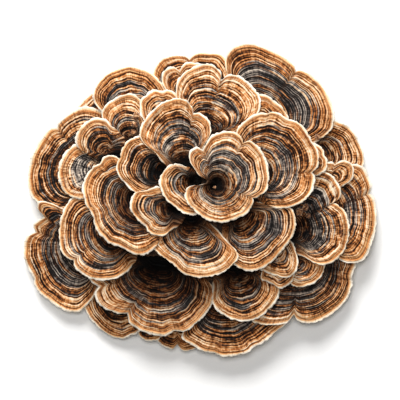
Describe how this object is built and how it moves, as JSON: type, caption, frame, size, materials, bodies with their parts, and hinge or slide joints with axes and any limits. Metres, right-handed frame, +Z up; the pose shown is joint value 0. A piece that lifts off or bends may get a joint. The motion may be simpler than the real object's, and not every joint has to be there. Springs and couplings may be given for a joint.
{
  "type": "turkey tail mushroom",
  "caption": "Picked rosette of overlapping fan-shaped turkey tail bracket caps, banded in concentric brown, ochre, cream and grey, grown from one cut base.",
  "frame": {"origin": "on the resting surface, under the middle of the rosette's bounding box", "axes": "+Z up out of the rosette's face, +X along its longest width, +Y towards the side with the two tallest outer caps"},
  "size_m": [0.1774, 0.1572, 0.0459],
  "materials": {
    "cap_skin": "velvety banded upper skin with a satin sheen, cream margin and matt cream underside",
    "bud_skin": "matt young growth",
    "base_flesh": "matt fibrous flesh, cut flat underneath"
  },
  "bodies": {
    "root": {"cut_base": "base_flesh", "skirt_cap_bottom": "cap_skin", "skirt_cap_bottom_left": "cap_skin", "outer_cap_bottom": "cap_skin", "skirt_cap_lower_left": "cap_skin", "skirt_cap_upper_left": "cap_skin", "outer_cap_top": "cap_skin", "skirt_cap_upper_right": "cap_skin", "outer_cap_left": "cap_skin", "outer_cap_upper_right": "cap_skin", "outer_cap_lower_right": "cap_skin", "outer_cap_right": "cap_skin", "outer_cap_lower_left": "cap_skin", "outer_cap_upper_left": "cap_skin", "small_cap_top": "cap_skin", "small_cap_upper_right": "cap_skin", "middle_cap_lower_left": "cap_skin", "middle_cap_bottom": "cap_skin", "small_cap_lower_right": "cap_skin", "small_cap_right": "cap_skin", "middle_cap_right": "cap_skin", "ruffled_cap_lower_right": "cap_skin", "inner_cap_lower_right": "cap_skin", "middle_cap_left_low": "cap_skin", "middle_cap_upper_left": "cap_skin", "middle_cap_left_high": "cap_skin", "middle_cap_left_top": "cap_skin", "small_cap_upper_left": "cap_skin", "inner_cap_top": "cap_skin", "inner_cap_lower_middle": "cap_skin", "inner_cap_bottom": "cap_skin", "inner_cap_left": "cap_skin", "inner_cap_narrow_right": "cap_skin", "inner_cap_right": "cap_skin", "inner_cap_upper_left": "cap_skin", "crown_cap_upper_left": "cap_skin", "crown_cap_lower_left": "cap_skin", "crown_cap_left": "cap_skin", "crown_cap_centre": "cap_skin", "bud_crown_centre": "bud_skin", "bud_right_1": "bud_skin", "bud_right_2": "bud_skin", "bud_right_3": "bud_skin", "bud_upper_left_1": "bud_skin", "bud_upper_left_2": "bud_skin", "bud_upper_left_3": "bud_skin", "bud_upper_right_1": "bud_skin"}
  },
  "joints": []
}
